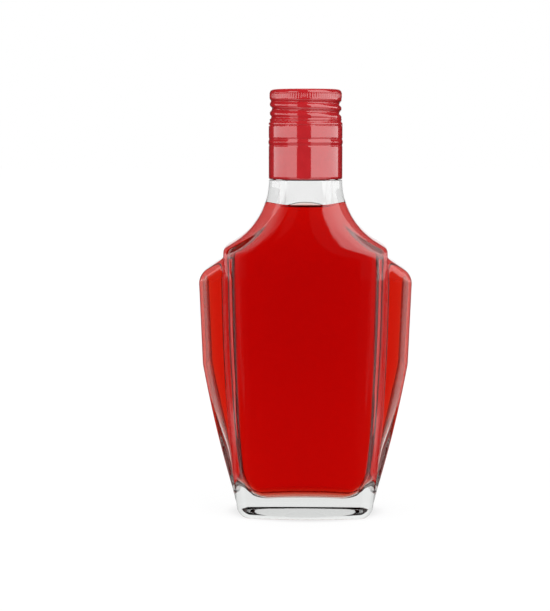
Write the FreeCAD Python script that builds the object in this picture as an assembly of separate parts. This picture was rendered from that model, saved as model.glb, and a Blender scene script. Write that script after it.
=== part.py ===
"""Pocket flask for spirits: a stepped clear-glass bottle, the drink in it and its rolled-on screw cap.

Frame: +Z up, origin at the middle of the base, the broad front faces -Y. Millimetres.
Each piece is one solid and one STEP file in parts/.
"""
import FreeCAD, Part
import math
import os
from collections import namedtuple

from FreeCAD import Vector

# Centre block: the deep middle of the flask, from the base to the shoulder.
BASE_HALF_WIDTH = 27.4
SHOULDER_HALF_WIDTH = 33.0
WIDTH_SWELL_POWER = 2.0
BASE_HALF_DEPTH = 18.6
BODY_HALF_DEPTH = 19.95
DEPTH_SWELL_START, DEPTH_SWELL_END = 9.0, 80.0
BASE_EDGE_RADIUS = 5.5
EDGE_RADIUS = 3.6
EDGE_SHARPEN_END = 40.0
FACE_TURN = 7.0
SIDE_TURN = 3.0
HEEL_RADIUS = 4.2

# Shoulder: a rounded corner, a straight slope and a hollow sweep into the neck.
CORNER_Z = 107.2
CORNER_RADIUS = 2.85
SHOULDER_RISE = 58.0
SWEEP_RADIUS = 28.6
DEPTH_FALL_START = 96.0
ROUNDING_START = 104.0

# Neck, a rounded square outside, and the round mouth that the cap covers.
NECK_Z = 136.0
NECK_HALF_WIDTH = 14.9
NECK_HALF_DEPTH = 13.6
NECK_EDGE_RADIUS = 9.5
NECK_SIDE_TURN = 8.0
FINISH_RADIUS = 13.8
MOUTH_Z = 171.7
LIP_RADIUS = 1.0

# Wings: the thinner slab that stands out at both sides of the block.
WING_HALF_DEPTH = 11.4
WING_TOP_HALF_WIDTH, WING_TOP_Z = 30.0, 106.6
WING_HALF_WIDTH, WING_CORNER_Z = 42.8, 98.0
WAIST_HALF_WIDTH, WAIST_Z = 41.3, 62.0
WING_FOOT_HALF_WIDTH, WING_FOOT_Z = 27.6, 5.0
WING_SIDE_BOW = 0.9
WING_EDGE_RADIUS = 3.8
WING_CORNER_RADIUS = 4.0
WAIST_RADIUS = 14.0

# Hollow: the walls are even above and grow towards the heavy base.
SIDE_WALL = 2.0
HEAVY_WALL = 0.8
HEAVY_START, HEAVY_END = 6.0, 44.0
BASE_CURVE_Z = 19.2
BASE_CURVE_RADIUS = 12.0
BASE_CURVE_TURN = 68.0
BASE_CURVE_STEPS = 4
CAVITY_BASE_HALF_DEPTH = 14.8
CAVITY_HALF_DEPTH = 17.75
CAVITY_BASE_EDGE_RADIUS = 5.5
CAVITY_EDGE_RADIUS = 9.0
CAVITY_EDGE_START, CAVITY_EDGE_END = 12.0, 60.0
CAVITY_CORNER_Z = 104.6
CAVITY_CORNER_RADIUS = 3.4
CAVITY_SWEEP_RADIUS = 31.0
BORE_RADIUS = 12.0
ROUND_TURN = 30.0
WING_WALL = 2.0
WING_CAVITY_EDGE_RADIUS = 6.5
WING_CAVITY_CORNER_RADIUS = 7.0
WING_CAVITY_FOOT_HALF_WIDTH, WING_CAVITY_FOOT_Z = 27.6, 12.7
WING_CAVITY_BOW = 1.2
FLOOR_CUT_Z = 6.6
FLOOR_DOME_RADIUS = 180.0
FLOOR_MIDDLE_Z = 9.6
FLOOR_EDGE_RADIUS = 1.2
PUNT_HEIGHT = 1.6
PUNT_MARGIN = 6.5
PUNT_TAPER = 6.0
PUNT_FLARE = 0.5

# Drink.
LEVEL_Z = 125.4

# Cap: knurled rim, thread, collar, score line, bead and skirt.
CAP_RADIUS = 15.05
CAP_THREAD_RADIUS = 14.6
CAP_RIM_RADIUS = 14.8
CAP_SKIN = 0.3
CAP_BOTTOM_Z = 136.2
CAP_EDGE_RADIUS = 1.6
CAP_RELIEF = 0.35
RIM_Z = 168.3
THREAD_TOP_Z, THREAD_BOTTOM_Z = 167.4, 160.4
THREAD_TURNS = 2
COLLAR_Z = 159.2
SCORE_Z = 157.6
BEAD_Z = 150.9
BEAD_HALF_WIDTH = 0.9
GROOVE_HALF_WIDTH = 0.4

# How finely the block is cut into level sections, and the least length that counts.
BLOCK_STEPS = 10
RUN_STEPS = 4
FLAT = 0.01
CORNER_REACH = 4.0

# One surface of the block, shoulder and neck: the outside, or the hollow in it.
Skin = namedtuple(
    "Skin",
    "half_width wall corner_z corner_radius sweep_radius neck_half_width half_depths"
    " edge_radius low_heights neck_edge_radius neck_face_turn neck_side_turn",
)


def smooth(value, start, end):
    """Rises from 0 to 1 between start and end, level at both ends."""
    t = min(1.0, max(0.0, (value - start) / (end - start)))
    return t * t * (3.0 - 2.0 * t)


def body_half_width(z):
    fall = max(0.0, CORNER_Z - z) / CORNER_Z
    return SHOULDER_HALF_WIDTH - (SHOULDER_HALF_WIDTH - BASE_HALF_WIDTH) * fall**WIDTH_SWELL_POWER


def no_wall(z):
    return 0.0


def side_wall(z):
    """The wall at the sides, which grows towards the heavy base."""
    fall = min(1.0, max(0.0, (HEAVY_END - z) / (HEAVY_END - HEAVY_START)))
    drop = min(max(0.0, BASE_CURVE_Z - z), BASE_CURVE_RADIUS * math.sin(math.radians(BASE_CURVE_TURN)))
    curve = BASE_CURVE_RADIUS - math.sqrt(BASE_CURVE_RADIUS**2 - drop**2)
    return SIDE_WALL + HEAVY_WALL * fall**2 + curve


def outer_edge(z):
    """Radius of the block's upright edges, rounder at the base."""
    return BASE_EDGE_RADIUS + (EDGE_RADIUS - BASE_EDGE_RADIUS) * smooth(z, 0.0, EDGE_SHARPEN_END)


def inner_edge(z):
    """Radius of the hollow's upright edges, rounder above the base."""
    swell = smooth(z, CAVITY_EDGE_START, CAVITY_EDGE_END)
    return CAVITY_BASE_EDGE_RADIUS + (CAVITY_EDGE_RADIUS - CAVITY_BASE_EDGE_RADIUS) * swell


def base_curve_heights():
    """Heights up the curve where the hollow's sides turn into its floor."""
    turn = math.radians(BASE_CURVE_TURN)
    turns = [turn * (1.0 - i / BASE_CURVE_STEPS) for i in range(BASE_CURVE_STEPS + 1)]
    return [BASE_CURVE_Z - BASE_CURVE_RADIUS * math.sin(turn) for turn in turns]


OUTSIDE = Skin(
    half_width=SHOULDER_HALF_WIDTH,
    wall=no_wall,
    corner_z=CORNER_Z,
    corner_radius=CORNER_RADIUS,
    sweep_radius=SWEEP_RADIUS,
    neck_half_width=NECK_HALF_WIDTH,
    half_depths=(BASE_HALF_DEPTH, BODY_HALF_DEPTH, NECK_HALF_DEPTH),
    edge_radius=outer_edge,
    low_heights=[0.0],
    neck_edge_radius=NECK_EDGE_RADIUS,
    neck_face_turn=FACE_TURN,
    neck_side_turn=NECK_SIDE_TURN,
)
HOLLOW = Skin(
    half_width=SHOULDER_HALF_WIDTH - SIDE_WALL,
    wall=side_wall,
    corner_z=CAVITY_CORNER_Z,
    corner_radius=CAVITY_CORNER_RADIUS,
    sweep_radius=CAVITY_SWEEP_RADIUS,
    neck_half_width=BORE_RADIUS,
    half_depths=(CAVITY_BASE_HALF_DEPTH, CAVITY_HALF_DEPTH, BORE_RADIUS),
    edge_radius=inner_edge,
    low_heights=[FLOOR_CUT_Z] + base_curve_heights(),
    neck_edge_radius=BORE_RADIUS,
    neck_face_turn=ROUND_TURN,
    neck_side_turn=ROUND_TURN,
)


def shoulder_stations(skin):
    """(half width, z) up the rounded corner, the slope and the sweep, to the foot of the neck."""
    rise = math.radians(SHOULDER_RISE)
    turns = [rise * i / RUN_STEPS for i in range(RUN_STEPS + 1)]
    corner_x = skin.half_width - skin.corner_radius
    corner = [
        (corner_x + skin.corner_radius * math.cos(turn), skin.corner_z + skin.corner_radius * math.sin(turn))
        for turn in turns
    ]
    slope_x, slope_z = corner[-1]
    sweep_x = skin.neck_half_width + skin.sweep_radius
    run = slope_x - (sweep_x - skin.sweep_radius * math.cos(rise))
    lift = run / math.tan(rise)
    sweep_z = slope_z + lift + skin.sweep_radius * math.sin(rise)
    sweep = [
        (sweep_x - skin.sweep_radius * math.cos(turn), sweep_z - skin.sweep_radius * math.sin(turn))
        for turn in (rise * i / (2 * RUN_STEPS) for i in range(2 * RUN_STEPS, -1, -1))
    ]
    return corner + sweep


def outline(z, half_width, half_depth, corner, face_turn, side_turn):
    """Level outline of eight tangent arcs: two faces, two sides and four corners.

    face_turn and side_turn are half the angles that a face and a side bow through.
    """
    face = math.radians(face_turn)
    side = math.radians(side_turn)
    half = math.tan(side / 2.0)
    reach = (half_width - corner - (half_depth - corner) * half) / (
        math.sin(face) - (1.0 - math.cos(face)) * half
    )
    corner_x = reach * math.sin(face)
    corner_y = half_depth - corner - reach * (1.0 - math.cos(face))
    face_radius = corner + reach
    side_radius = corner + corner_y / math.sin(side)
    quarter = math.pi / 2.0
    arcs = (
        (half_width - side_radius, 0.0, side_radius, -side, side),
        (corner_x, corner_y, corner, side, quarter - face),
        (0.0, half_depth - face_radius, face_radius, quarter - face, quarter + face),
        (-corner_x, corner_y, corner, quarter + face, 2.0 * quarter - side),
        (side_radius - half_width, 0.0, side_radius, 2.0 * quarter - side, 2.0 * quarter + side),
        (-corner_x, -corner_y, corner, 2.0 * quarter + side, 3.0 * quarter - face),
        (0.0, face_radius - half_depth, face_radius, 3.0 * quarter - face, 3.0 * quarter + face),
        (corner_x, -corner_y, corner, 3.0 * quarter + face, 4.0 * quarter - side),
    )
    return Part.Wire([arc(z, *values) for values in arcs])


def arc(z, centre_x, centre_y, radius, start, end):
    def at(angle):
        return Vector(centre_x + radius * math.cos(angle), centre_y + radius * math.sin(angle), z)

    return Part.Arc(at(start), at((start + end) / 2.0), at(end)).toShape()


def section(skin, z, half_width, neck_z):
    """Outline of a skin at one height; it turns from the block's form to the neck's."""
    base, full, neck = skin.half_depths
    swell = smooth(z, DEPTH_SWELL_START, DEPTH_SWELL_END)
    fall = smooth(z, DEPTH_FALL_START, neck_z)
    rounding = smooth(z, ROUNDING_START, neck_z)
    edge_radius = skin.edge_radius(z)
    return outline(
        z,
        half_width,
        base + (full - base) * swell - (full - neck) * fall,
        edge_radius + (skin.neck_edge_radius - edge_radius) * rounding,
        FACE_TURN + (skin.neck_face_turn - FACE_TURN) * rounding,
        SIDE_TURN + (skin.neck_side_turn - SIDE_TURN) * rounding,
    )


def body_form(skin):
    """The block, shoulder and neck as a stack of level outlines, and the height where they end."""
    start = skin.low_heights[-1]
    step = (skin.corner_z - start) / BLOCK_STEPS
    heights = skin.low_heights[:-1] + [start + step * i for i in range(BLOCK_STEPS)]
    stations = [(body_half_width(z) - skin.wall(z), z) for z in heights] + shoulder_stations(skin)
    neck_z = stations[-1][1]
    sections = [section(skin, z, half_width, neck_z) for half_width, z in stations]
    return Part.makeLoft(sections, True, True), neck_z


def round_bottom(block, surface, radius):
    """Round the edges of the one face that lies on this kind of surface and is lowest."""
    floors = [face for face in block.Faces if isinstance(face.Surface, surface)]
    floor = min(floors, key=lambda face: face.BoundBox.ZMax)
    return block.makeFillet(radius, floor.Edges)


def wing_form(inset, half_depth, foot, bow, corner_radius, foot_radius, edge_radius):
    """The flat slab whose sides stand out of the block as wings, or the hollow in it."""
    foot_half_width, foot_z = foot
    right = [
        Vector(WING_TOP_HALF_WIDTH, -half_depth, WING_TOP_Z),
        Vector(WING_HALF_WIDTH, -half_depth, WING_CORNER_Z),
        Vector(WAIST_HALF_WIDTH, -half_depth, WAIST_Z),
        Vector(foot_half_width, -half_depth, foot_z),
    ]
    left = [Vector(-point.x, point.y, point.z) for point in right]
    middle = (right[2] + right[3]) / 2.0 + Vector(bow, 0, 0)
    edges = [
        Part.makeLine(left[0], right[0]),
        Part.makeLine(right[0], right[1]),
        Part.makeLine(right[1], right[2]),
        Part.Arc(right[2], middle, right[3]).toShape(),
        Part.makeLine(right[3], left[3]),
        Part.Arc(left[3], Vector(-middle.x, middle.y, middle.z), left[2]).toShape(),
        Part.makeLine(left[2], left[1]),
        Part.makeLine(left[1], left[0]),
    ]
    wire = Part.Wire(edges)
    if inset:
        wire = wire.makeOffset2D(-inset)
    slab = Part.Face(wire).extrude(Vector(0, 2.0 * half_depth, 0))
    slab = slab.makeFillet(corner_radius, corner_edges(slab, WING_CORNER_Z))
    if foot_radius:
        slab = slab.makeFillet(foot_radius, corner_edges(slab, foot_z))
    slab = slab.makeFillet(WAIST_RADIUS, corner_edges(slab, WAIST_Z))
    rim = [edge for edge in slab.Edges if edge.BoundBox.YLength < FLAT]
    return slab.makeFillet(edge_radius, rim)


def corner_edges(slab, z):
    """Edges that run front to back close to a height."""
    boxes = [(edge, edge.BoundBox) for edge in slab.Edges]
    across = [(edge, box) for edge, box in boxes if box.XLength < FLAT and box.ZLength < FLAT]
    return [edge for edge, box in across if abs(box.ZMin - z) < CORNER_REACH]


def hollow():
    """The space inside the glass, from the domed floor up through the mouth."""
    body, neck_z = body_form(HOLLOW)
    body = body.cut(Part.makeSphere(FLOOR_DOME_RADIUS, Vector(0, 0, FLOOR_MIDDLE_Z - FLOOR_DOME_RADIUS)))
    body = round_bottom(body, Part.Sphere, FLOOR_EDGE_RADIUS)
    bore = Part.makeCylinder(BORE_RADIUS, MOUTH_Z - neck_z + 1.0, Vector(0, 0, neck_z))
    foot = (WING_CAVITY_FOOT_HALF_WIDTH, WING_CAVITY_FOOT_Z)
    wings = wing_form(
        WING_WALL,
        WING_HALF_DEPTH - WING_WALL,
        foot,
        WING_CAVITY_BOW,
        WING_CAVITY_CORNER_RADIUS,
        WING_CAVITY_CORNER_RADIUS,
        WING_CAVITY_EDGE_RADIUS,
    )
    return body.fuse([bore, wings])


def glass(space):
    body, neck_z = body_form(OUTSIDE)
    body = round_bottom(body, Part.Plane, HEEL_RADIUS)
    finish = Part.makeCylinder(FINISH_RADIUS, MOUTH_Z - neck_z + 1.0, Vector(0, 0, neck_z - 1.0))
    finish = finish.makeFillet(LIP_RADIUS, [e for e in finish.Edges if e.BoundBox.ZMin > MOUTH_Z - FLAT])
    foot = (WING_FOOT_HALF_WIDTH, WING_FOOT_Z)
    wings = wing_form(0.0, WING_HALF_DEPTH, foot, WING_SIDE_BOW, WING_CORNER_RADIUS, 0.0, WING_EDGE_RADIUS)
    return body.fuse([finish, wings]).cut(space).cut(punt())


def punt():
    """Shallow dome under the base, so that the bottle stands on a ring."""
    half_width = BASE_HALF_WIDTH - PUNT_MARGIN
    half_depth = BASE_HALF_DEPTH - PUNT_MARGIN
    wide, deep = half_width + PUNT_FLARE, half_depth + PUNT_FLARE
    low = outline(-PUNT_FLARE, wide, deep, EDGE_RADIUS, FACE_TURN, SIDE_TURN)
    high = outline(
        PUNT_HEIGHT, half_width - PUNT_TAPER, half_depth - PUNT_TAPER, EDGE_RADIUS / 2.0, FACE_TURN, SIDE_TURN
    )
    return Part.makeLoft([low, high], True, True)


def drink(space):
    """Fills the hollow up to the level."""
    reach = 2.0 * WING_HALF_WIDTH
    below = Part.makeBox(reach, reach, LEVEL_Z, Vector(-reach / 2.0, -reach / 2.0, 0))
    return space.common(below)


def cap():
    """Rolled aluminium shell, closed at the top."""
    return cap_form(0.0).cut(cap_form(CAP_SKIN))


def groove(radius, high, low):
    middle = (high + low) / 2.0
    return [Vector(radius, 0, high), Vector(radius - CAP_RELIEF, 0, middle), Vector(radius, 0, low)]


def cap_form(inset):
    """The cap's outside as a solid, or with inset the space inside it."""
    top = MOUTH_Z + CAP_SKIN - inset
    rim = CAP_RIM_RADIUS - inset
    thread = CAP_THREAD_RADIUS - inset
    skirt = CAP_RADIUS - inset
    edge = CAP_EDGE_RADIUS - inset
    bottom = CAP_BOTTOM_Z - (1.0 if inset else 0.0)
    pitch = (THREAD_TOP_Z - THREAD_BOTTOM_Z) / THREAD_TURNS
    points = [Vector(rim, 0, top - edge), Vector(rim, 0, RIM_Z)]
    for turn in range(THREAD_TURNS):
        high = THREAD_TOP_Z - pitch * turn
        points += groove(thread, high - FLAT, high - pitch + FLAT)
    points.append(Vector(skirt, 0, COLLAR_Z))
    for z, half_width in ((SCORE_Z, GROOVE_HALF_WIDTH), (BEAD_Z, BEAD_HALF_WIDTH)):
        points += groove(skirt, z + half_width, z - half_width)
    points += [Vector(skirt, 0, bottom), Vector(0, 0, bottom), Vector(0, 0, top), Vector(rim - edge, 0, top)]
    corner = edge * math.sin(math.radians(45.0))
    round_edge = Part.Arc(points[-1], Vector(rim - edge + corner, 0, top - edge + corner), points[0])
    profile = Part.Wire(Part.makePolygon(points).Edges + [round_edge.toShape()])
    return Part.Face(profile).revolve(Vector(0, 0, 0), Vector(0, 0, 1), 360)


def main():
    os.makedirs("parts", exist_ok=True)
    space = hollow()
    pieces = {
        "glass_bottle": glass(space),
        "red_drink": drink(space),
        "screw_cap": cap(),
    }
    for name, shape in pieces.items():
        print(name, shape.isValid(), len(shape.Solids), round(shape.Volume / 1000.0, 2), "ml")
        shape.exportStep(f"parts/{name}.step")


main()
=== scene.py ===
"""Looks of the pocket flask: clear glass, red drink and red lacquered screw cap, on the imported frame."""

import math

import bpy
import numpy as np
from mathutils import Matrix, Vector


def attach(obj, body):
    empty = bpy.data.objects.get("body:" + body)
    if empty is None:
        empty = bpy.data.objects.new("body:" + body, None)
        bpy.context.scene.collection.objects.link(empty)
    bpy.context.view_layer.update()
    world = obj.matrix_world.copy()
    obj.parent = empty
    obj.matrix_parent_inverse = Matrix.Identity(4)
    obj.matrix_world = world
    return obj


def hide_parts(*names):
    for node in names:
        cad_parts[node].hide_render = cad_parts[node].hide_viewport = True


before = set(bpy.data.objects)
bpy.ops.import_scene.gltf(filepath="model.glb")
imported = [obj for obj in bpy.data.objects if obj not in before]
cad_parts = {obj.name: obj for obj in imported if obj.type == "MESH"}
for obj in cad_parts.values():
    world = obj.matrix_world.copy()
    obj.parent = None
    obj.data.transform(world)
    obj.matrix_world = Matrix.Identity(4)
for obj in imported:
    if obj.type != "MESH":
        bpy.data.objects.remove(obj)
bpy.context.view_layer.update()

MM = 0.001
QUARTER = math.pi / 2.0

# Sizes of the glass, in millimetres. They follow the solids, apart from the heel at the front and back, the
# form of the punt, the upper corners of the wings, the hollow in the wings and the mouth under the cap.
BASE_HALF_WIDTH = 27.4
SHOULDER_HALF_WIDTH = 33.0
WIDTH_SWELL_POWER = 2.0
BASE_HALF_DEPTH = 18.6
BODY_HALF_DEPTH = 19.95
DEPTH_SWELL_START, DEPTH_SWELL_END = 9.0, 80.0
BASE_EDGE_RADIUS = 5.5
EDGE_RADIUS = 3.6
EDGE_SHARPEN_END = 40.0
FACE_TURN = 7.0
SIDE_TURN = 3.0
HEEL_RADIUS = 4.2
HEEL_DEPTH_SHARE = 0.14
CORNER_Z = 107.2
CORNER_RADIUS = 2.85
SHOULDER_RISE = 58.0
SWEEP_RADIUS = 28.6
DEPTH_FALL_START = 96.0
ROUNDING_START = 104.0
NECK_Z = 135.9
NECK_HALF_WIDTH = 14.9
NECK_HALF_DEPTH = 13.6
NECK_EDGE_RADIUS = 9.5
NECK_SIDE_TURN = 8.0
NECK_LEDGE_RADIUS = 0.4
FINISH_RADIUS = 13.1
MOUTH_Z = 171.7
LIP_RADIUS = 1.0

# Wings: the thinner slab that stands out at both sides of the block.
WING_HALF_DEPTH = 11.4
WING_HALF_WIDTH = 42.8
WING_CORNER_Z = 98.0
WING_TOP_X, WING_TOP_Z = 30.0, 106.6
WAIST_HALF_WIDTH = 41.3
WAIST_Z = 62.0
# Half width and height of the foot of a wing, and how far its lower side bows out.
WING_FOOT = (27.6, 5.0, 0.9)
WING_CAVITY_FOOT = (27.6, 11.2, 1.2)
WING_EDGE_RADIUS = 3.8
WING_CORNER_RADIUS = 3.0
WING_FOOT_RADIUS = 1.0

# Hollow: the sides curve into the domed floor over the heavy base.
SIDE_WALL = 2.0
HEAVY_WALL = 0.8
HEAVY_START, HEAVY_END = 6.0, 44.0
BASE_CURVE_Z = 19.2
BASE_CURVE_RADIUS = 12.0
BASE_CURVE_TURN = 68.0
CAVITY_BASE_HALF_DEPTH = 14.8
CAVITY_HALF_DEPTH = 17.75
CAVITY_BASE_EDGE_RADIUS = 5.5
CAVITY_EDGE_RADIUS = 9.0
CAVITY_EDGE_START, CAVITY_EDGE_END = 12.0, 60.0
CAVITY_CORNER_Z = 104.6
CAVITY_CORNER_RADIUS = 3.4
CAVITY_SWEEP_RADIUS = 31.0
BORE_RADIUS = 12.0
ROUND_TURN = 30.0
WING_WALL = 2.0
WING_CAVITY_EDGE_RADIUS = 4.6
WING_CAVITY_CORNER_RADIUS = 4.0
WING_CAVITY_FOOT_RADIUS = 7.0
FLOOR_DOME_RADIUS = 180.0
FLOOR_MIDDLE_Z = 9.6
FLOOR_EDGE_Z = 8.4
FLOOR_EDGE_RADIUS = 1.2
PUNT_HEIGHT = 1.6
PUNT_START = 0.9
PUNT_POWER = 0.8

# An inset takes at most this share of the radius of an upright edge.
MOST_INSET = 0.9

# Width of the fillet where the wings meet the block, outside and inside.
FOOT_BLEND = 1.4
CAVITY_BLEND = 2.0

# The hollow ends below its neck's foot, and the straight bore starts above it.
HOLLOW_END_BELOW = 0.5
BORE_START_ABOVE = 1.0

# The drink reaches a little into the wall, and creeps up the glass at its rim.
LEVEL_Z = 125.4
DRINK_OVERLAP = 0.2
MENISCUS_HEIGHT = 1.3
MENISCUS_REACH = 1.1
MENISCUS_SPAN = 2.2
MENISCUS_POWER = 3
LEVEL_RING_SHARES = (0.7, 0.35)

# How finely the outlines are cut, and how much bends and even spacing count beside length.
QUARTER_COLUMNS = 54
DENSE = 721
BEND_WEIGHT = 0.55
EVEN_WEIGHT = 0.3

# The search along a ray for the outline of the wings: how far it looks, and how often it halves the step.
FARTHEST = 60.0
HALVINGS = 34

# How many rings each part takes.
PUNT_RINGS = 14
HEEL_RINGS = 8
LEDGE_RINGS = 4
LIP_RINGS = 5
FLOOR_RINGS = 12
FLOOR_EDGE_RINGS = 8
BORE_RINGS = 6
MENISCUS_RINGS = 10

# Runs of levels as (from, to, steps), closer together round the waist and the shoulder.
OUTER_RUNS = (
    (HEEL_RADIUS, 58.0, 50), (58.0, 66.0, 12), (66.0, 91.0, 18), (91.0, 111.0, 60), (111.0, NECK_Z, 32),
)
CAVITY_RUNS = ((BASE_CURVE_Z, 58.0, 28), (58.0, 66.0, 8), (66.0, 88.0, 12), (88.0, 110.0, 50))
BASE_CURVE_STEPS = 16
CAVITY_NECK_STEPS = 26


def smooth(value, start, end):
    """Rises from 0 to 1 between start and end, level at both ends."""
    t = np.clip((value - start) / (end - start), 0.0, 1.0)
    return t * t * (3.0 - 2.0 * t)


def quarter_turn(steps, first=1):
    """Angles up to a quarter turn in equal steps."""
    return [QUARTER * i / steps for i in range(first, steps + 1)]


def body_half_width(z):
    fall = np.maximum(0.0, CORNER_Z - z) / CORNER_Z
    return SHOULDER_HALF_WIDTH - (SHOULDER_HALF_WIDTH - BASE_HALF_WIDTH) * fall**WIDTH_SWELL_POWER


def side_wall(z):
    """The wall at the sides, which grows towards the heavy base."""
    fall = np.clip((HEAVY_END - z) / (HEAVY_END - HEAVY_START), 0.0, 1.0)
    drop = np.clip(BASE_CURVE_Z - z, 0.0, BASE_CURVE_RADIUS * math.sin(math.radians(BASE_CURVE_TURN)))
    curve = BASE_CURVE_RADIUS - np.sqrt(BASE_CURVE_RADIUS**2 - drop**2)
    return SIDE_WALL + HEAVY_WALL * fall**2 + curve


class Profile:
    """Half width and half depth by height: corner, straight slope and sweep into the neck."""

    def __init__(self, half_width, corner_z, corner_radius, sweep_radius, neck_width, depths):
        rise = math.radians(SHOULDER_RISE)
        self.corner_x = half_width - corner_radius
        self.corner_z = corner_z
        self.corner_radius = corner_radius
        self.slope_x = self.corner_x + corner_radius * math.cos(rise)
        self.slope_z = corner_z + corner_radius * math.sin(rise)
        self.sweep_radius = sweep_radius
        self.sweep_x = neck_width + sweep_radius
        start_x = self.sweep_x - sweep_radius * math.cos(rise)
        self.fall = math.tan(rise)
        self.sweep_start_z = self.slope_z + (self.slope_x - start_x) / self.fall
        self.neck_z = self.sweep_start_z + sweep_radius * math.sin(rise)
        self.depths = depths

    def half_width(self, z):
        up = np.clip(z - self.corner_z, 0.0, self.slope_z - self.corner_z)
        corner = self.corner_x + np.sqrt(self.corner_radius**2 - up**2)
        slope = self.slope_x - (z - self.slope_z) * self.fall
        down = np.clip(self.neck_z - z, 0.0, self.neck_z - self.sweep_start_z)
        sweep = self.sweep_x - np.sqrt(self.sweep_radius**2 - down**2)
        return np.where(z < self.slope_z, corner, np.where(z < self.sweep_start_z, slope, sweep))

    def half_depth(self, z):
        base, full, neck = self.depths
        swell = smooth(z, DEPTH_SWELL_START, DEPTH_SWELL_END)
        fall = smooth(z, DEPTH_FALL_START, self.neck_z)
        return base + (full - base) * swell - (full - neck) * fall

    def rounding(self, z):
        return smooth(z, ROUNDING_START, self.neck_z)


OUTER = Profile(
    SHOULDER_HALF_WIDTH, CORNER_Z, CORNER_RADIUS, SWEEP_RADIUS, NECK_HALF_WIDTH,
    (BASE_HALF_DEPTH, BODY_HALF_DEPTH, NECK_HALF_DEPTH),
)
CAVITY = Profile(
    SHOULDER_HALF_WIDTH - SIDE_WALL, CAVITY_CORNER_Z, CAVITY_CORNER_RADIUS, CAVITY_SWEEP_RADIUS, BORE_RADIUS,
    (CAVITY_BASE_HALF_DEPTH, CAVITY_HALF_DEPTH, BORE_RADIUS),
)


def outline_radius(angle, half_width, half_depth, corner, face_turn, side_turn):
    """Distance from the axis to a level outline of tangent arcs, for angles up to a quarter turn."""
    face = np.radians(face_turn)
    side = np.radians(side_turn)
    half = np.tan(side / 2.0)
    reach = (half_width - corner - (half_depth - corner) * half) / (
        np.sin(face) - (1.0 - np.cos(face)) * half
    )
    reach = np.maximum(reach, 0.0)
    corner_x = reach * np.sin(face)
    corner_y = half_depth - corner - reach * (1.0 - np.cos(face))
    face_radius = corner + reach
    side_radius = corner + corner_y / np.sin(side)
    side_end = np.arctan2(corner_y + corner * np.sin(side), corner_x + corner * np.cos(side))
    face_end = np.arctan2(corner_y + corner * np.cos(face), corner_x + corner * np.sin(face))
    on_side = angle < side_end
    on_face = angle > face_end
    centre_x = np.where(on_side, half_width - side_radius, np.where(on_face, 0.0, corner_x))
    centre_y = np.where(on_side, 0.0, np.where(on_face, half_depth - face_radius, corner_y))
    radius = np.where(on_side, side_radius, np.where(on_face, face_radius, corner))
    along = centre_x * np.cos(angle) + centre_y * np.sin(angle)
    across = centre_x * np.sin(angle) - centre_y * np.cos(angle)
    return along + np.sqrt(np.maximum(radius**2 - across**2, 0.0))


def body_radius(angle, z, inner, inset):
    """The centre block, shoulder and neck; inset moves the outline in, as round the heel."""
    if inner:
        swell = smooth(z, CAVITY_EDGE_START, CAVITY_EDGE_END)
        corner = CAVITY_BASE_EDGE_RADIUS + (CAVITY_EDGE_RADIUS - CAVITY_BASE_EDGE_RADIUS) * swell
        profile, neck_corner = CAVITY, BORE_RADIUS
        face_turn, side_turn = ROUND_TURN, ROUND_TURN
        straight = body_half_width(z) - side_wall(z)
    else:
        sharpen = smooth(z, 0.0, EDGE_SHARPEN_END)
        corner = BASE_EDGE_RADIUS + (EDGE_RADIUS - BASE_EDGE_RADIUS) * sharpen
        profile, neck_corner = OUTER, NECK_EDGE_RADIUS
        face_turn, side_turn = FACE_TURN, NECK_SIDE_TURN
        straight = body_half_width(z)
    rounding = profile.rounding(z)
    half_width = np.where(z < profile.corner_z, straight, profile.half_width(z))
    corner = corner + (neck_corner - corner) * rounding
    return outline_radius(
        angle,
        half_width - inset,
        profile.half_depth(z) - inset,
        corner - np.minimum(inset, MOST_INSET * corner),
        FACE_TURN + (face_turn - FACE_TURN) * rounding,
        SIDE_TURN + (side_turn - SIDE_TURN) * rounding,
    )


def rounded_corner(a, b, radius):
    """Inside of two surfaces at once, with a rounded edge between them."""
    outside = np.sqrt(np.maximum(a + radius, 0.0) ** 2 + np.maximum(b + radius, 0.0) ** 2)
    return np.minimum(np.maximum(a + radius, b + radius), 0.0) + outside - radius


def joined(a, b, width):
    """The larger of two radii, with a fillet where they cross."""
    near = np.maximum(width - np.abs(a - b), 0.0) / width
    return np.maximum(a, b) + near * near * width / 4.0


def wing_edge(x, z, foot, corner, foot_corner):
    """Signed distance to the wing's outline seen from the front; negative inside."""
    slope = math.atan2(WING_TOP_Z - WING_CORNER_Z, WING_HALF_WIDTH - WING_TOP_X)
    top = (x - WING_HALF_WIDTH) * math.sin(slope) + (z - WING_CORNER_Z) * math.cos(slope)
    lean = math.atan2(WING_HALF_WIDTH - WAIST_HALF_WIDTH, WING_CORNER_Z - WAIST_Z)
    side = (x - WING_HALF_WIDTH) * math.cos(lean) - (z - WING_CORNER_Z) * math.sin(lean)
    foot_x, foot_z, bow = foot
    run_x = WAIST_HALF_WIDTH - foot_x
    run_z = WAIST_Z - foot_z
    chord = math.hypot(run_x, run_z)
    bow_radius = (chord**2 / 4.0 + bow**2) / (2.0 * bow)
    out_x, out_z = run_z / chord, -run_x / chord
    back = bow_radius - bow
    centre_x = (WAIST_HALF_WIDTH + foot_x) / 2.0 - back * out_x
    centre_z = (WAIST_Z + foot_z) / 2.0 - back * out_z
    below = np.hypot(x - centre_x, z - centre_z) - bow_radius
    side = np.where(z > WAIST_Z, side, below)
    side = rounded_corner(side, foot_z - z, foot_corner)
    return rounded_corner(top, side, corner)


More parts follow.
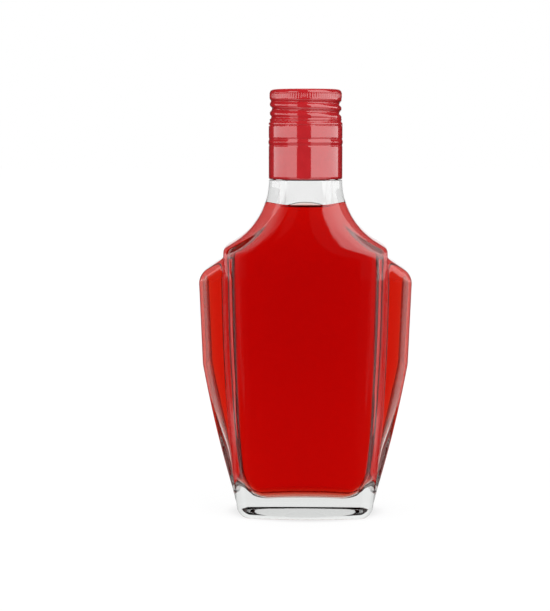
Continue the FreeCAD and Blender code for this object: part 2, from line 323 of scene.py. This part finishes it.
def wing_radius(angle, z, wall, edge_radius, foot, corner, foot_corner):
    """The slab that the wings belong to, found along each ray by halving steps."""
    low = np.zeros(np.broadcast(angle, z).shape)
    high = np.full(low.shape, FARTHEST)
    for _ in range(HALVINGS):
        middle = (low + high) / 2.0
        x = middle * np.cos(angle)
        y = middle * np.sin(angle)
        edge = wing_edge(x, z, foot, corner, foot_corner) + wall
        inside = rounded_corner(edge, y - WING_HALF_DEPTH + wall, edge_radius) < 0.0
        low = np.where(inside, middle, low)
        high = np.where(inside, high, middle)
    return (low + high) / 2.0


def outer_radius(angle, z, inset):
    wing = wing_radius(angle, z, inset, WING_EDGE_RADIUS, WING_FOOT, WING_CORNER_RADIUS, WING_FOOT_RADIUS)
    return joined(body_radius(angle, z, False, inset), wing, FOOT_BLEND)


def inner_radius(angle, z, inset):
    wing = wing_radius(
        angle, z, WING_WALL + inset, WING_CAVITY_EDGE_RADIUS, WING_CAVITY_FOOT,
        WING_CAVITY_CORNER_RADIUS, WING_CAVITY_FOOT_RADIUS,
    )
    return joined(body_radius(angle, z, True, inset), wing, CAVITY_BLEND)


def spread(angles, radii, columns):
    """Angles over a quarter turn, closer together where the outline bends."""
    x = radii * np.cos(angles)
    y = radii * np.sin(angles)
    step_x, step_y = np.diff(x), np.diff(y)
    length = np.hypot(step_x, step_y)
    heading = np.unwrap(np.arctan2(step_y, step_x))
    bend = np.abs(np.diff(heading, prepend=heading[:1]))
    weight = length / length.sum() + BEND_WEIGHT * bend / max(bend.sum(), 1e-9) + EVEN_WEIGHT / len(length)
    total = np.concatenate([[0.0], np.cumsum(weight)])
    return np.interp(np.linspace(0.0, total[-1], columns + 1), total, angles)


def full_ring(quarter_angles, quarter_radii, z):
    """The four mirrored quarters of one outline as points."""
    x = quarter_radii * np.cos(quarter_angles)
    y = quarter_radii * np.sin(quarter_angles)
    xs = np.concatenate([x[:-1], -x[:0:-1], -x[:-1], x[:0:-1]])
    ys = np.concatenate([y[:-1], y[:0:-1], -y[:-1], -y[:0:-1]])
    return np.stack([xs, ys, np.full(xs.shape, z)], axis=1)


def ring_at(radius_of, z, inset):
    """One level outline of the glass or the hollow, as points."""
    dense = np.linspace(0.0, QUARTER, DENSE)
    angles = spread(dense, radius_of(dense, z, inset), QUARTER_COLUMNS)
    angles[0], angles[-1] = 0.0, QUARTER
    return full_ring(angles, radius_of(angles, z, inset), z)


def round_ring(radius, z):
    angles = np.linspace(0.0, QUARTER, QUARTER_COLUMNS + 1)
    return full_ring(angles, np.full(angles.shape, radius), z)


def heights(*runs):
    """Heights along several runs of (from, to, steps)."""
    values = []
    for start, end, steps in runs:
        values += [start + (end - start) * i / steps for i in range(steps)]
    return values + [runs[-1][1]]


def outer_rings():
    """Outside of the glass, from the middle of the base up to the lip."""
    contact = ring_at(outer_radius, 0.0, HEEL_RADIUS)
    contact[:, 1] *= 1.0 + HEEL_DEPTH_SHARE
    rings = []
    for i in range(1, PUNT_RINGS + 1):
        share = i / PUNT_RINGS
        ring = contact * share
        hollow = max(0.0, 1.0 - (share / PUNT_START) ** 2)
        ring[:, 2] = PUNT_HEIGHT * hollow**PUNT_POWER
        rings.append(ring)
    for turn in quarter_turn(HEEL_RINGS):
        low = 1.0 - math.sin(turn)
        ring = ring_at(outer_radius, HEEL_RADIUS * (1.0 - math.cos(turn)), HEEL_RADIUS * low)
        ring[:, 1] *= 1.0 + HEEL_DEPTH_SHARE * low
        rings.append(ring)
    for z in heights(*OUTER_RUNS)[1:-1]:
        rings.append(ring_at(outer_radius, z, 0.0))
    for turn in quarter_turn(LEDGE_RINGS, first=0):
        inset = NECK_LEDGE_RADIUS * (1.0 - math.cos(turn))
        rings.append(ring_at(outer_radius, NECK_Z - NECK_LEDGE_RADIUS * (1.0 - math.sin(turn)), inset))
    rings.append(round_ring(FINISH_RADIUS, NECK_Z))
    rings.append(round_ring(FINISH_RADIUS, MOUTH_Z - LIP_RADIUS))
    for turn in quarter_turn(LIP_RINGS):
        z = MOUTH_Z - LIP_RADIUS * (1.0 - math.sin(turn))
        rings.append(round_ring(FINISH_RADIUS - LIP_RADIUS * (1.0 - math.cos(turn)), z))
    return rings


def floor_z(x, y):
    """Height of the domed floor."""
    return FLOOR_MIDDLE_Z - (x**2 + y**2) / (2.0 * FLOOR_DOME_RADIUS)


def cavity_rings(grow, top_z):
    """Inside of the glass from the floor's middle up; grow moves it out into the wall."""
    rings = []
    corner = ring_at(inner_radius, FLOOR_EDGE_Z, FLOOR_EDGE_RADIUS - grow)
    for i in range(1, FLOOR_RINGS + 1):
        ring = corner * (i / FLOOR_RINGS)
        ring[:, 2] = floor_z(ring[:, 0], ring[:, 1]) - grow
        rings.append(ring)
    for turn in quarter_turn(FLOOR_EDGE_RINGS):
        inset = FLOOR_EDGE_RADIUS * (1.0 - math.sin(turn)) - grow
        rise = FLOOR_EDGE_RADIUS * (1.0 - math.cos(turn))
        ring = ring_at(inner_radius, FLOOR_EDGE_Z + rise, inset)
        ring[:, 2] = floor_z(ring[:, 0], ring[:, 1]) + rise - grow
        rings.append(ring)
    start = FLOOR_EDGE_Z + FLOOR_EDGE_RADIUS
    low_run = (start, BASE_CURVE_Z, BASE_CURVE_STEPS)
    neck_run = (CAVITY_RUNS[-1][1], top_z, CAVITY_NECK_STEPS)
    for z in heights(low_run, *CAVITY_RUNS, neck_run)[1:]:
        ring = ring_at(inner_radius, z, -grow)
        lift = floor_z(ring[:, 0], ring[:, 1]) - FLOOR_EDGE_Z
        ring[:, 2] += lift * (1.0 - smooth(z, FLOOR_EDGE_Z, BASE_CURVE_Z))
        rings.append(ring)
    return rings


def mesh_from_rings(name, rings, close_start, close_end):
    """Skin over rings of equal length; an end is closed with a fan to its middle."""
    count = len(rings[0])
    points = [tuple(p) for ring in rings for p in ring * MM]
    faces = []
    for i in range(len(rings) - 1):
        low, high = i * count, (i + 1) * count
        for j in range(count):
            k = (j + 1) % count
            faces.append((low + j, low + k, high + k, high + j))
    if close_start:
        points.append((0.0, 0.0, close_start * MM))
        tip = len(points) - 1
        faces += [(tip, (j + 1) % count, j) for j in range(count)]
    if close_end:
        points.append((0.0, 0.0, close_end * MM))
        tip = len(points) - 1
        last = (len(rings) - 1) * count
        faces += [(tip, last + j, last + (j + 1) % count) for j in range(count)]
    mesh = bpy.data.meshes.new(name)
    mesh.from_pydata(points, [], faces)
    mesh.polygons.foreach_set("use_smooth", [True] * len(mesh.polygons))
    mesh.update()
    piece = bpy.data.objects.new(name, mesh)
    bpy.context.scene.collection.objects.link(piece)
    return piece


# ---------------------------------------------------------------- pieces

def make_glass():
    """One closed skin: up the outside, over the lip and down the hollow to the middle of the floor."""
    inside = cavity_rings(0.0, CAVITY.neck_z - HOLLOW_END_BELOW)
    bore_run = (CAVITY.neck_z + BORE_START_ABOVE, MOUTH_Z - LIP_RADIUS, BORE_RINGS)
    inside += [round_ring(BORE_RADIUS, z) for z in heights(bore_run)]
    for turn in quarter_turn(LIP_RINGS):
        radius = BORE_RADIUS + LIP_RADIUS - LIP_RADIUS * math.cos(turn)
        inside.append(round_ring(radius, MOUTH_Z - LIP_RADIUS + LIP_RADIUS * math.sin(turn)))
    return mesh_from_rings("bottle_glass", outer_rings() + inside[::-1], PUNT_HEIGHT, FLOOR_MIDDLE_Z)


def make_drink():
    """The hollow grown into the wall, closed by a level top that rises at the glass."""
    level = LEVEL_Z - MENISCUS_HEIGHT / 2.0
    rings = cavity_rings(DRINK_OVERLAP, level + MENISCUS_HEIGHT)
    rim = rings[-1]
    reach = np.hypot(rim[:, 0], rim[:, 1])
    for i in range(1, MENISCUS_RINGS + 1):
        share = i / MENISCUS_RINGS
        ring = rim.copy()
        inward = MENISCUS_REACH * MENISCUS_SPAN * share
        rise = MENISCUS_HEIGHT * math.exp(-inward / MENISCUS_REACH) * (1.0 - share**MENISCUS_POWER)
        ring[:, :2] *= ((reach - DRINK_OVERLAP - inward) / reach)[:, None]
        ring[:, 2] = level + rise
        rings.append(ring)
    last = rings[-1]
    for share in LEVEL_RING_SHARES:
        ring = last.copy()
        ring[:, :2] *= share
        ring[:, 2] = level
        rings.append(ring)
    return mesh_from_rings("drink", rings, FLOOR_MIDDLE_Z - DRINK_OVERLAP, level)


# Sizes of the cap, in millimetres; the bead is its widest place. The rim and the thread are slimmer than in
# the solids. The inside is plain and close to the mouth, so the wall is thicker than the solid's skin. The
# knurling, the helix and the bridges are drawn here alone.
CAP_RADIUS = 15.05
CAP_RIM_RADIUS = 14.5
CAP_THREAD_RADIUS = 14.45
CAP_BOTTOM_Z = 136.2
CAP_TOP_Z = 172.0
CAP_SKIN = 0.3
CAP_CLEARANCE = 0.05
CAP_EDGE_RADIUS = 1.6
KNURL_TOP_Z = 170.4
KNURL_BOTTOM_Z = 168.3
KNURL_COUNT = 90
KNURL_DEPTH = 0.16
KNURL_POWER = 0.8
KNURL_FADE = 0.3
RIM_RISE_BELOW, RIM_RISE_ABOVE = 0.3, 0.5
THREAD_TOP_Z = 167.6
THREAD_BOTTOM_Z = 160.6
THREAD_PITCH = 3.6
THREAD_DEPTH = 0.85
THREAD_POWER = 1.6
THREAD_FADE = 0.9
THREAD_TOP_FADE = 0.5
COLLAR_Z = 159.2
COLLAR_DEPTH = 0.45
COLLAR_HALF_WIDTH = 0.75
COLLAR_STEP_BELOW, COLLAR_STEP_ABOVE = 0.2, 1.2
SCORE_Z = 157.6
SCORE_DEPTH = 0.28
SCORE_HALF_WIDTH = 0.35
SCORE_BRIDGES = 9
BRIDGE_EDGES = (0.72, 0.86)
BRIDGE_SHARE = 0.75
BEAD_Z = 150.9
BEAD_HALF_WIDTH = 0.9
BEAD_HEIGHT = 0.16
BEAD_DIP = 0.14
BEAD_DIP_AWAY = 1.3
BEAD_DIP_HALF_WIDTH = 0.5
CAP_COLUMNS = 360
CAP_RUNS = (
    (CAP_BOTTOM_Z, 149.0, 14), (149.0, 153.0, 30), (153.0, 156.6, 4), (156.6, 160.2, 36),
    (160.2, 168.0, 64), (168.0, CAP_TOP_Z - CAP_EDGE_RADIUS, 12),
)
CAP_EDGE_RINGS = 12
CAP_TOP_SHARES = (0.9, 0.7, 0.45, 0.2)


def bump(value, centre, half_width):
    """One smooth hump of height one."""
    t = np.clip(np.abs(value - centre) / half_width, 0.0, 1.0)
    return (1.0 - t * t) ** 2


def cap_radius_at(angle, z):
    """Drawn metal: knurled rim, rolled thread, collar, score line with bridges, bead and skirt."""
    skirt = CAP_RADIUS - BEAD_HEIGHT
    upper = smooth(z, COLLAR_Z - COLLAR_STEP_BELOW, COLLAR_Z + COLLAR_STEP_ABOVE)
    rim = smooth(z, KNURL_BOTTOM_Z - RIM_RISE_BELOW, KNURL_BOTTOM_Z + RIM_RISE_ABOVE)
    radius = np.full(angle.shape, skirt)
    radius += (CAP_THREAD_RADIUS - skirt) * upper + (CAP_RIM_RADIUS - CAP_THREAD_RADIUS) * rim
    knurl = (0.5 + 0.5 * np.cos(angle * KNURL_COUNT)) ** KNURL_POWER
    below_edge = smooth(-z, -KNURL_TOP_Z - KNURL_FADE, -KNURL_TOP_Z + KNURL_FADE)
    radius -= KNURL_DEPTH * (1.0 - knurl) * rim * below_edge
    inside = smooth(z, THREAD_BOTTOM_Z - THREAD_FADE, THREAD_BOTTOM_Z + THREAD_FADE)
    inside *= smooth(-z, -THREAD_TOP_Z - THREAD_TOP_FADE, -THREAD_TOP_Z + THREAD_FADE)
    helix = (z - THREAD_BOTTOM_Z) / THREAD_PITCH + angle / (2.0 * math.pi)
    groove = (0.5 - 0.5 * np.cos(2.0 * math.pi * helix)) ** THREAD_POWER
    radius -= THREAD_DEPTH * groove * inside
    radius -= COLLAR_DEPTH * bump(z, COLLAR_Z, COLLAR_HALF_WIDTH)
    bridge = smooth(np.cos(angle * SCORE_BRIDGES), *BRIDGE_EDGES)
    radius -= SCORE_DEPTH * bump(z, SCORE_Z, SCORE_HALF_WIDTH) * (1.0 - BRIDGE_SHARE * bridge)
    radius += BEAD_HEIGHT * bump(z, BEAD_Z, BEAD_HALF_WIDTH)
    dip_below = bump(z, BEAD_Z - BEAD_DIP_AWAY, BEAD_DIP_HALF_WIDTH)
    dip_above = bump(z, BEAD_Z + BEAD_DIP_AWAY, BEAD_DIP_HALF_WIDTH)
    return radius - BEAD_DIP * (dip_below + dip_above)


def cap_ring(angles, radius, z):
    radius = np.broadcast_to(radius, angles.shape)
    return np.stack([radius * np.cos(angles), radius * np.sin(angles), np.full(angles.shape, z)], axis=1)


def make_cap():
    """One closed skin: down the plain inside, up the formed outside and over the top."""
    angles = np.arange(CAP_COLUMNS) / CAP_COLUMNS * 2.0 * math.pi
    inner = FINISH_RADIUS + CAP_CLEARANCE
    rings = [cap_ring(angles, inner, CAP_TOP_Z - CAP_SKIN), cap_ring(angles, inner, CAP_BOTTOM_Z)]
    for z in heights(*CAP_RUNS):
        rings.append(cap_ring(angles, cap_radius_at(angles, z), z))
    for turn in quarter_turn(CAP_EDGE_RINGS):
        z = CAP_TOP_Z - CAP_EDGE_RADIUS + CAP_EDGE_RADIUS * math.sin(turn)
        radius = cap_radius_at(angles, z) - CAP_EDGE_RADIUS * (1.0 - math.cos(turn))
        rings.append(cap_ring(angles, radius, z))
    for share in CAP_TOP_SHARES:
        rings.append(cap_ring(angles, (CAP_RIM_RADIUS - CAP_EDGE_RADIUS) * share, CAP_TOP_Z))
    return mesh_from_rings("cap", rings, CAP_TOP_Z - CAP_SKIN, CAP_TOP_Z)


# ---------------------------------------------------------------- materials

WHITE = (1.0, 1.0, 1.0, 1.0)
GLASS_IOR = 1.52
GLASS_TINT = (0.63, 0.66, 0.64, 1.0)
GLASS_TINT_DENSITY = 14.0
GLASS_WAVE_SCALE, GLASS_WAVE_DETAIL = 90.0, 2.0
GLASS_WAVE_STRETCH = (1.0, 1.0, 0.35)
GLASS_WAVE_STRENGTH, GLASS_WAVE_DEPTH = 0.12, 0.0004
DRINK_IOR = 1.36
DRINK_COLOUR = (0.949, 0.275, 0.084, 1.0)
DRINK_DENSITY = 320.0
LACQUER_DARK = (0.5, 0.013, 0.018, 1.0)
LACQUER_LIGHT = (0.56, 0.016, 0.022, 1.0)
LACQUER_GRAIN_SCALE, LACQUER_GRAIN_DETAIL = 260.0, 4.0
LACQUER_GRAIN_LOW, LACQUER_GRAIN_HIGH = 0.3, 0.7

# The floor is white mostly by its own glow, of which bouncing light gets a share. In an ellipse under the
# bottle, with half axes in metres, it glows a third less, which is a painted shadow; this fades out between
# the two shares of them.
FLOOR_HALF = 6.0
FLOOR_ALBEDO = 0.12
FLOOR_GLOW = 0.9
PAINTED_SHADOW_GLOW = 0.6
FLOOR_BOUNCE = 0.7
PAINTED_SHADOW_HALF_WIDTH, PAINTED_SHADOW_HALF_DEPTH = 0.028, 0.019
PAINTED_SHADOW_FADE_START, PAINTED_SHADOW_FADE_END = 0.7, 1.25


class Nodes:
    """Shorthand for arithmetic between sockets and numbers of one node tree."""

    def __init__(self, tree):
        self.tree = tree

    def math(self, operation, *values):
        node = self.tree.nodes.new("ShaderNodeMath")
        node.operation = operation
        for socket, value in zip(node.inputs, values):
            if isinstance(value, (int, float)):
                socket.default_value = value
            else:
                self.tree.links.new(value, socket)
        return node.outputs[0]

    def ramp(self, value, start, end, low=0.0, high=1.0):
        node = self.tree.nodes.new("ShaderNodeMapRange")
        node.interpolation_type = "SMOOTHSTEP"
        for name, number in (("From Min", start), ("From Max", end), ("To Min", low), ("To Max", high)):
            socket = node.inputs[name]
            if isinstance(number, (int, float)):
                socket.default_value = number
            else:
                self.tree.links.new(number, socket)
        self.tree.links.new(value, node.inputs["Value"])
        return node.outputs[0]

    def mix(self, share, first, second):
        change = self.math("SUBTRACT", second, first)
        return self.math("ADD", first, self.math("MULTIPLY", share, change))

    def product(self, *values):
        total = values[0]
        for value in values[1:]:
            total = self.math("MULTIPLY", total, value)
        return total


def new_material(name):
    material = bpy.data.materials.new(name)
    material.use_nodes = True
    tree = material.node_tree
    tree.nodes.clear()
    return material, tree


def set_inputs(node, values):
    for key, value in values.items():
        node.inputs[key].default_value = value


def fine_noise(tree, scale, detail, stretch=(1.0, 1.0, 1.0)):
    place = tree.nodes.new("ShaderNodeTexCoord")
    mapping = tree.nodes.new("ShaderNodeMapping")
    mapping.inputs["Scale"].default_value = stretch
    noise = tree.nodes.new("ShaderNodeTexNoise")
    set_inputs(noise, {"Scale": scale, "Detail": detail})
    tree.links.new(place.outputs["Object"], mapping.inputs["Vector"])
    tree.links.new(mapping.outputs["Vector"], noise.inputs["Vector"])
    return noise


def clear_shader(tree, ior):
    shader = tree.nodes.new("ShaderNodeBsdfPrincipled")
    set_inputs(shader, {"Base Color": WHITE, "Roughness": 0.0, "IOR": ior, "Transmission Weight": 1.0})
    return shader


def absorbing_output(tree, shader, colour, density):
    """Joins a clear surface to the colour that the volume behind it keeps."""
    volume = tree.nodes.new("ShaderNodeVolumeAbsorption")
    set_inputs(volume, {"Color": colour, "Density": density})
    out = tree.nodes.new("ShaderNodeOutputMaterial")
    tree.links.new(shader.outputs["BSDF"], out.inputs["Surface"])
    tree.links.new(volume.outputs["Volume"], out.inputs["Volume"])


def glass_material():
    """Clear glass with the faintest waves of a blown wall."""
    material, tree = new_material("clear_flint_glass")
    shader = clear_shader(tree, GLASS_IOR)
    noise = fine_noise(tree, GLASS_WAVE_SCALE, GLASS_WAVE_DETAIL, GLASS_WAVE_STRETCH)
    waves = tree.nodes.new("ShaderNodeBump")
    set_inputs(waves, {"Strength": GLASS_WAVE_STRENGTH, "Distance": GLASS_WAVE_DEPTH})
    tree.links.new(noise.outputs["Fac"], waves.inputs["Height"])
    tree.links.new(waves.outputs["Normal"], shader.inputs["Normal"])
    absorbing_output(tree, shader, GLASS_TINT, GLASS_TINT_DENSITY)
    return material


def drink_material():
    material, tree = new_material("red_drink")
    absorbing_output(tree, clear_shader(tree, DRINK_IOR), DRINK_COLOUR, DRINK_DENSITY)
    return material


def lacquer_material():
    """Red lacquer under a glossy coat, with a fine grain of two reds."""
    material, tree = new_material("red_lacquer")
    shader = tree.nodes.new("ShaderNodeBsdfPrincipled")
    set_inputs(shader, {"Metallic": 0.0, "Roughness": 0.35, "Specular IOR Level": 0.1})
    set_inputs(shader, {"Coat Weight": 1.0, "Coat Roughness": 0.05, "Coat IOR": 1.7})
    noise = fine_noise(tree, LACQUER_GRAIN_SCALE, LACQUER_GRAIN_DETAIL)
    ramp = tree.nodes.new("ShaderNodeValToRGB")
    dark, light = ramp.color_ramp.elements
    dark.position, dark.color = LACQUER_GRAIN_LOW, LACQUER_DARK
    light.position, light.color = LACQUER_GRAIN_HIGH, LACQUER_LIGHT
    tree.links.new(noise.outputs["Fac"], ramp.inputs["Fac"])
    tree.links.new(ramp.outputs["Color"], shader.inputs["Base Color"])
    out = tree.nodes.new("ShaderNodeOutputMaterial")
    tree.links.new(shader.outputs["BSDF"], out.inputs["Surface"])
    return material


def floor_material():
    """Pale matt floor: most of its white is its own glow, so that it stays white and keeps the shadow; under
    the bottle a weaker glow paints a shadow.

    A mirrored ray passes it, and meets the studio's own table level instead.
    """
    material, tree = new_material("pale_floor")
    path = tree.nodes.new("ShaderNodeLightPath")
    diffuse = tree.nodes.new("ShaderNodeBsdfDiffuse")
    diffuse.inputs["Color"].default_value = (FLOOR_ALBEDO, FLOOR_ALBEDO, FLOOR_ALBEDO, 1.0)
    glow = tree.nodes.new("ShaderNodeEmission")
    glow.inputs["Color"].default_value = WHITE
    nodes = Nodes(tree)
    seen = nodes.math("MAXIMUM", path.outputs["Is Camera Ray"], path.outputs["Is Transmission Ray"])
    seen = nodes.math("MAXIMUM", seen, nodes.math("MULTIPLY", path.outputs["Is Diffuse Ray"], FLOOR_BOUNCE))
    # Painted shadow: the glow is a third weaker in an ellipse under the bottle, fading out at its edge.
    where = tree.nodes.new("ShaderNodeSeparateXYZ")
    tree.links.new(tree.nodes.new("ShaderNodeNewGeometry").outputs["Position"], where.inputs[0])
    across = nodes.math("DIVIDE", where.outputs["X"], PAINTED_SHADOW_HALF_WIDTH)
    along = nodes.math("DIVIDE", where.outputs["Y"], PAINTED_SHADOW_HALF_DEPTH)
    away = nodes.math("SQRT", nodes.math("ADD", nodes.product(across, across), nodes.product(along, along)))
    level = nodes.ramp(away, PAINTED_SHADOW_FADE_START, PAINTED_SHADOW_FADE_END, PAINTED_SHADOW_GLOW, FLOOR_GLOW)
    tree.links.new(nodes.math("MULTIPLY", seen, level), glow.inputs["Strength"])
    both = tree.nodes.new("ShaderNodeAddShader")
    tree.links.new(diffuse.outputs[0], both.inputs[0])
    tree.links.new(glow.outputs[0], both.inputs[1])
    mirrored = nodes.math("GREATER_THAN", path.outputs["Glossy Depth"], 0.5)
    choice = tree.nodes.new("ShaderNodeMixShader")
    tree.links.new(mirrored, choice.inputs["Fac"])
    tree.links.new(both.outputs[0], choice.inputs[1])
    tree.links.new(tree.nodes.new("ShaderNodeBsdfTransparent").outputs[0], choice.inputs[2])
    out = tree.nodes.new("ShaderNodeOutputMaterial")
    tree.links.new(choice.outputs[0], out.inputs["Surface"])
    return material


# ---------------------------------------------------------------- studio

# Angles in degrees. Each softbox: where it starts, where it starts low down, where it ends, where it ends
# near the horizon, and its top.
RIGHT_BOX = (9.0, 16.8, 88.0, 121.0, 70.0)
LEFT_BOX = (27.0, 27.0, 60.0, 117.0, 39.0)
RIGHT_STRENGTH, LEFT_STRENGTH = 2.7, 2.3
BOX_SOFTNESS = 0.8
BOX_TURN_LOW, BOX_TURN_HIGH = 12.0, 24.0
BOX_FADE_LOW, BOX_FADE_HIGH = -4.5, -2.5
BOX_LOW_SHARE = 0.3
HORIZON_START, HORIZON_FULL = -1.8, -1.7
HORIZON_FADE, HORIZON_END = 6.0, 14.0
TABLE_START, TABLE_END = -30.0, -55.0
TABLE_LEVEL = 0.6
BACKDROP_START, BACKDROP_FULL = 160.0, 168.0
ROOM_LEVEL = 0.01
DIFFUSE_LEVEL = 0.9

# What rays meet that were mirrored inside the glass: once, and more often.
INNER_START, INNER_END = 70.0, 110.0
INNER_LEVEL = 0.85
INNER_BOX_STRENGTH = 0.02
DEEP_LEVEL = 0.35


def softbox(nodes, azimuth, elevation, start, low_start, end, horizon_end, top):
    """Share of a soft light seen towards a direction, in degrees round the object from the front."""
    soft = BOX_SOFTNESS
    near = nodes.ramp(elevation, BOX_TURN_LOW, BOX_TURN_HIGH, low_start, start)
    over_horizon = nodes.ramp(elevation, HORIZON_START, HORIZON_FULL)
    under_fade = nodes.ramp(elevation, HORIZON_FADE, HORIZON_END, 1.0, 0.0)
    far = nodes.mix(nodes.math("MULTIPLY", over_horizon, under_fade), end, horizon_end)
    return nodes.product(
        nodes.ramp(elevation, BOX_FADE_LOW, BOX_FADE_HIGH, BOX_LOW_SHARE, 1.0),
        nodes.ramp(nodes.math("SUBTRACT", azimuth, near), -soft, soft),
        nodes.ramp(nodes.math("SUBTRACT", azimuth, far), -2.0 * soft, 2.0 * soft, 1.0, 0.0),
        nodes.ramp(elevation, top - 2.0 * soft, top + 2.0 * soft, 1.0, 0.0),
    )


def make_world():
    """White surround; mirrored in the object, it is a dim room with two softboxes and the white backdrop."""
    world = bpy.data.worlds.new("studio")
    bpy.context.scene.world = world
    world.use_nodes = True
    tree = world.node_tree
    tree.nodes.clear()
    nodes = Nodes(tree)
    towards = tree.nodes.new("ShaderNodeSeparateXYZ")
    place = tree.nodes.new("ShaderNodeTexCoord")
    tree.links.new(place.outputs["Generated"], towards.inputs[0])
    x, y, z = towards.outputs
    degrees = 180.0 / math.pi
    azimuth = nodes.math("MULTIPLY", nodes.math("ARCTAN2", x, nodes.math("MULTIPLY", y, -1.0)), degrees)
    elevation = nodes.math("MULTIPLY", nodes.math("ARCSINE", z), degrees)
    right = softbox(nodes, azimuth, elevation, *RIGHT_BOX)
    left = softbox(nodes, nodes.math("MULTIPLY", azimuth, -1.0), elevation, *LEFT_BOX)
    boxes = nodes.math(
        "ADD", nodes.math("MULTIPLY", right, RIGHT_STRENGTH), nodes.math("MULTIPLY", left, LEFT_STRENGTH)
    )
    behind = nodes.ramp(nodes.math("ABSOLUTE", azimuth), BACKDROP_START, BACKDROP_FULL)
    mirror = nodes.math("ADD", boxes, nodes.math("MULTIPLY", behind, 1.0 - ROOM_LEVEL))
    mirror = nodes.math("ADD", mirror, ROOM_LEVEL)
    table = nodes.ramp(nodes.math("MULTIPLY", elevation, -1.0), -TABLE_START, -TABLE_END, 0.0, TABLE_LEVEL)
    mirror = nodes.math("ADD", mirror, table)
    path = tree.nodes.new("ShaderNodeLightPath")
    scattered = path.outputs["Is Diffuse Ray"]
    strength = nodes.math("ADD", 1.0, nodes.math("MULTIPLY", scattered, DIFFUSE_LEVEL - 1.0))
    inner = nodes.ramp(nodes.math("ABSOLUTE", azimuth), INNER_START, INNER_END, ROOM_LEVEL, INNER_LEVEL)
    inner = nodes.math("ADD", inner, nodes.math("MULTIPLY", boxes, INNER_BOX_STRENGTH))
    again = nodes.math("GREATER_THAN", path.outputs["Glossy Depth"], 1.5)
    inner = nodes.mix(again, inner, DEEP_LEVEL)
    mirror = nodes.mix(path.outputs["Is Transmission Ray"], mirror, inner)
    turned = nodes.math("GREATER_THAN", path.outputs["Glossy Depth"], 0.5)
    turned = nodes.math("MULTIPLY", turned, nodes.math("SUBTRACT", 1.0, scattered))
    strength = nodes.mix(turned, strength, mirror)
    glow = tree.nodes.new("ShaderNodeBackground")
    glow.inputs["Color"].default_value = WHITE
    tree.links.new(strength, glow.inputs["Strength"])
    out = tree.nodes.new("ShaderNodeOutputWorld")
    tree.links.new(glow.outputs[0], out.inputs["Surface"])


LAMP_SIZE = 0.9
LAMP_AIM = (0.0, 0.0, 0.08)
LAMPS = (("key", (0.9, -0.9, 1.0), 5.0), ("fill", (-1.0, -0.7, 0.7), 3.5))


def area_lamp(name, place, power):
    data = bpy.data.lights.new(name, "AREA")
    data.shape = "RECTANGLE"
    data.size = data.size_y = LAMP_SIZE
    data.energy = power
    lamp = bpy.data.objects.new(name, data)
    bpy.context.scene.collection.objects.link(lamp)
    lamp.location = place
    lamp.rotation_euler = (Vector(LAMP_AIM) - Vector(place)).to_track_quat("-Z", "Y").to_euler()
    lamp.visible_camera = False
    lamp.visible_glossy = False
    lamp.visible_transmission = False


def make_floor():
    corners = [(FLOOR_HALF * x, FLOOR_HALF * y, 0.0) for x, y in ((-1, -1), (1, -1), (1, 1), (-1, 1))]
    mesh = bpy.data.meshes.new("floor")
    mesh.from_pydata(corners, [], [(0, 1, 2, 3)])
    mesh.materials.append(floor_material())
    floor = bpy.data.objects.new("floor", mesh)
    bpy.context.scene.collection.objects.link(floor)


# The camera: metres, degrees, and millimetres for the lens and its sensor.
CAMERA_DISTANCE = 0.687
CAMERA_HEIGHT = 0.1558
CAMERA_PITCH = 5.9
CAMERA_YAW = 1.026
CAMERA_LENS = 100.16
SENSOR_HEIGHT = 36.0


def make_camera():
    data = bpy.data.cameras.new("camera")
    data.sensor_fit = "VERTICAL"
    data.sensor_height = SENSOR_HEIGHT
    data.lens = CAMERA_LENS
    camera = bpy.data.objects.new("camera", data)
    bpy.context.scene.collection.objects.link(camera)
    camera.location = (0.0, -CAMERA_DISTANCE, CAMERA_HEIGHT)
    camera.rotation_euler = (math.radians(90.0 - CAMERA_PITCH), 0.0, math.radians(CAMERA_YAW))
    bpy.context.scene.camera = camera


make_camera()
make_world()
make_floor()

for piece, material, node, slot in (
    (make_glass(), glass_material(), "glass_bottle", "clear_glass"),
    (make_drink(), drink_material(), "red_drink", "red_liquid"),
    (make_cap(), lacquer_material(), "screw_cap", "red_lacquer"),
):
    piece.data.materials.append(material)
    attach(piece, "root")
    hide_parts(node)

for lamp in LAMPS:
    area_lamp(*lamp)

scene = bpy.context.scene
scene.view_settings.view_transform = "Standard"
scene.cycles.max_bounces = 32
scene.cycles.glossy_bounces = 16
scene.cycles.transmission_bounces = 32
